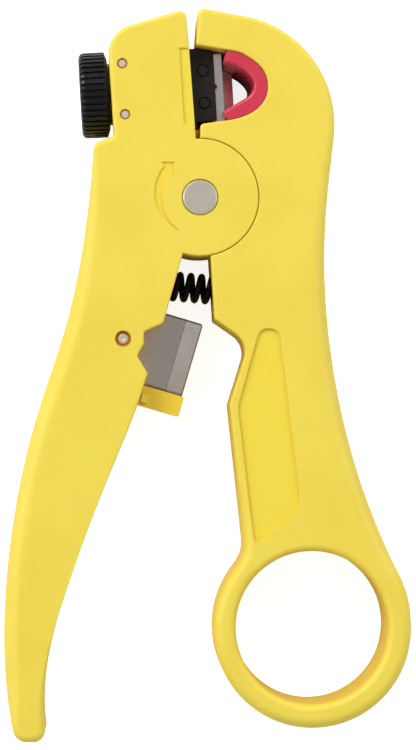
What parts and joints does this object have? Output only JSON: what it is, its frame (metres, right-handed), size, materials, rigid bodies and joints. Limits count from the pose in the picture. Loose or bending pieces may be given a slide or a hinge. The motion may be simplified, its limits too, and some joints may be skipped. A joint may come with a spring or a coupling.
{
  "type": "rotary cable stripper",
  "caption": "Plier-style rotary cable stripper and cutter: sprung lever handle, finger-ring handle, adjustable blade cassette and cutter blade.",
  "frame": {"origin": "pivot axis of the two handles, on the plane of the tool's back, which it rests on", "axes": "+Z out of the front face along the pivot axis, +Y from the pivot towards the jaws, +X towards the finger-ring handle's side"},
  "size_m": [0.0722, 0.1299, 0.0172],
  "materials": {
    "yellow_handle": "satin moulded nylon",
    "yellow_holder": "satin moulded nylon, deeper yellow",
    "red_seat": "glossy moulded plastic",
    "black_plastic": "fine-grained moulded plastic",
    "blade_steel": "ground",
    "pin_steel": "polished",
    "spring_steel": "black oxide, oiled",
    "brass": "machined",
    "nylon": "natural nylon",
    "rubber": "matt"
  },
  "bodies": {
    "ring_handle_body": {"ring_handle": "yellow_handle", "cable_seat": "red_seat", "pivot_post": "pin_steel", "pivot_cap": "pin_steel", "pivot_washer": "nylon", "return_spring": "spring_steel"},
    "lever_body": {"lever_handle": "yellow_handle", "head_pins": "pin_steel", "cutter_pin": "pin_steel", "cutter_blade": "blade_steel", "blade_holder": "yellow_holder"},
    "knob_body": {"adjusting_knob": "black_plastic", "adjusting_screw": "pin_steel", "friction_ring": "rubber"},
    "cassette_body": {"cassette_carrier": "black_plastic", "carrier_nut": "brass", "cassette_front_plate": "black_plastic", "cassette_back_plate": "black_plastic", "cassette_spacer": "black_plastic", "cassette_rivets": "black_plastic", "jacket_blade": "blade_steel", "core_blade": "blade_steel"}
  },
  "joints": [
    {"name": "handle_squeeze", "type": "hinge", "parent": "ring_handle_body", "child": "lever_body", "pos_m": [0, 0, 0.0085], "axis": [0, 0, 1], "range_deg": [0, 18.5], "stiffness_Nm_per_rad": 1.2, "springref_deg": -11.46, "deforming": ["return_spring"]},
    {"name": "knob_turn", "type": "hinge", "parent": "lever_body", "child": "knob_body", "pos_m": [0, 0.01995, 0.0085], "axis": [0.9983, 0.0576, 0], "range_deg": [-180, 720]},
    {"name": "cassette_slide", "type": "slide", "parent": "lever_body", "child": "cassette_body", "axis": [0.9983, 0.0576, 0], "range_m": [-0.0014, 0.00035]}
  ],
  "couplings": [
    {"joint": "knob_turn", "follows": "cassette_slide", "rad_per_m": -8976}
  ]
}
